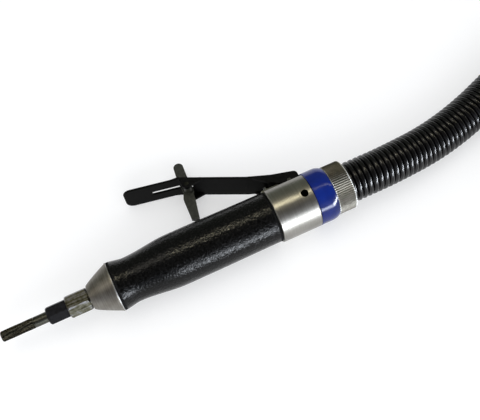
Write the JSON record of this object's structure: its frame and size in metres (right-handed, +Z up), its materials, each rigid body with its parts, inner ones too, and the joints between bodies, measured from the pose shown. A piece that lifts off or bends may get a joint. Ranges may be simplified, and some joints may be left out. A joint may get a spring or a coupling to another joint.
{
  "type": "pneumatic straight grinder",
  "caption": "Air-driven straight grinder with a fluted burr in a collet, a throttle lever with a lock-off lever, a coloured ring and a ribbed exhaust hose wound in a coil.",
  "frame": {"origin": "on the ground under the middle of the tool's box, measured without the hose and what is on it", "axes": "+X along the tool's axis towards the hose, the burr towards -X; +Y towards the throttle lever, with the tool on its side; +Z up"},
  "size_m": [0.5793, 0.2923, 0.0316],
  "materials": {
    "burr_steel": "dark fluted cutter with a bright shank",
    "black_steel": "black oxide, satin",
    "spindle_steel": "olive-silver plated, satin",
    "cone_steel": "satin, warm",
    "grip_rubber": "black, finely crinkled",
    "housing_steel": "satin, turned",
    "ring_blue": "deep blue, glossy",
    "sleeve_steel": "warm grey, finely knurled",
    "lever_paint": "black, satin",
    "lock_steel": "dark olive grey, satin",
    "pin_steel": "dark, satin",
    "bearing_steel": "polished",
    "cage_brass": "satin",
    "motor_steel": "ground",
    "vane_laminate": "brown laminate",
    "seal_rubber": "black",
    "fitting_brass": "machined",
    "seat_plastic": "off-white",
    "spring_steel": "plain",
    "stem_steel": "polished",
    "hose_rubber": "black, glossy",
    "supply_rubber": "black, smooth",
    "tie_fabric": "black strap",
    "cuff_plastic": "black",
    "plug_steel": "plated"
  },
  "bodies": {
    "housing": {"nose_cone": "cone_steel", "nose_seal": "seal_rubber", "front_outer_ring": "bearing_steel", "front_end_plate": "motor_steel", "cylinder_liner": "motor_steel", "rear_end_plate": "motor_steel", "rear_outer_ring": "bearing_steel", "preload_washer": "spring_steel", "motor_tube": "motor_steel", "grip_sleeve": "grip_rubber", "tube_o_ring": "seal_rubber", "valve_housing": "housing_steel", "valve_gland": "fitting_brass", "valve_seat": "seat_plastic", "valve_spring": "spring_steel", "hinge_pin": "pin_steel", "colour_ring": "ring_blue", "knurled_sleeve": "sleeve_steel", "inlet_nipple": "fitting_brass", "supply_hose": "supply_rubber", "exhaust_hose": "hose_rubber", "hose_coil": "hose_rubber", "hose_tie": "tie_fabric", "end_cuff": "cuff_plastic", "supply_tail": "supply_rubber", "crimp_ferrule": "plug_steel", "air_plug": "plug_steel"},
    "spindle_group": {"burr": "burr_steel", "collet": "black_steel", "spindle": "spindle_steel", "rotor": "motor_steel", "vanes": "vane_laminate", "front_inner_ring": "bearing_steel", "rear_inner_ring": "bearing_steel", "rotor_lock_nut": "pin_steel"},
    "front_cage": {"front_bearing_balls": "bearing_steel", "front_bearing_cage": "cage_brass"},
    "rear_cage": {"rear_bearing_balls": "bearing_steel", "rear_bearing_cage": "cage_brass"},
    "lever": {"throttle_lever": "lever_paint", "lock_off_pin": "pin_steel", "lock_off_spring": "spring_steel"},
    "lock_off": {"lock_off_lever": "lock_steel"},
    "stem": {"valve_stem": "stem_steel"}
  },
  "joints": [
    {"name": "spindle_spin", "type": "hinge", "parent": "housing", "child": "spindle_group", "pos_m": [-0.0379, -0.02136, 0.0158], "axis": [1, 0, 0], "continuous": true},
    {"name": "front_cage_spin", "type": "hinge", "parent": "housing", "child": "front_cage", "pos_m": [-0.0379, -0.02136, 0.0158], "axis": [1, 0, 0], "continuous": true},
    {"name": "rear_cage_spin", "type": "hinge", "parent": "housing", "child": "rear_cage", "pos_m": [-0.0379, -0.02136, 0.0158], "axis": [1, 0, 0], "continuous": true},
    {"name": "lever_hinge", "type": "hinge", "parent": "housing", "child": "lever", "pos_m": [0.0746, -0.0086, 0.01389], "axis": [0, 0.1478, 0.989], "range_deg": [0, 9.5], "stiffness_Nm_per_rad": 0.6, "springref_deg": -11.46},
    {"name": "lock_off_hinge", "type": "hinge", "parent": "lever", "child": "lock_off", "pos_m": [0.0216, 0.01661, 0.01013], "axis": [0, 0.1478, 0.989], "range_deg": [0, 69], "stiffness_Nm_per_rad": 0.01, "springref_deg": -28.65},
    {"name": "stem_slide", "type": "slide", "parent": "housing", "child": "stem", "axis": [0, -0.989, 0.1478], "range_m": [0, 0.00231], "deforming": ["valve_spring"]}
  ],
  "couplings": [
    {"joint": "front_cage_spin", "follows": "spindle_spin", "ratio": 0.4},
    {"joint": "rear_cage_spin", "follows": "spindle_spin", "ratio": 0.4},
    {"joint": "lock_off_hinge", "follows": "lever_hinge", "ratio": 7.26},
    {"joint": "stem_slide", "follows": "lever_hinge", "m_per_rad": 0.0139}
  ]
}
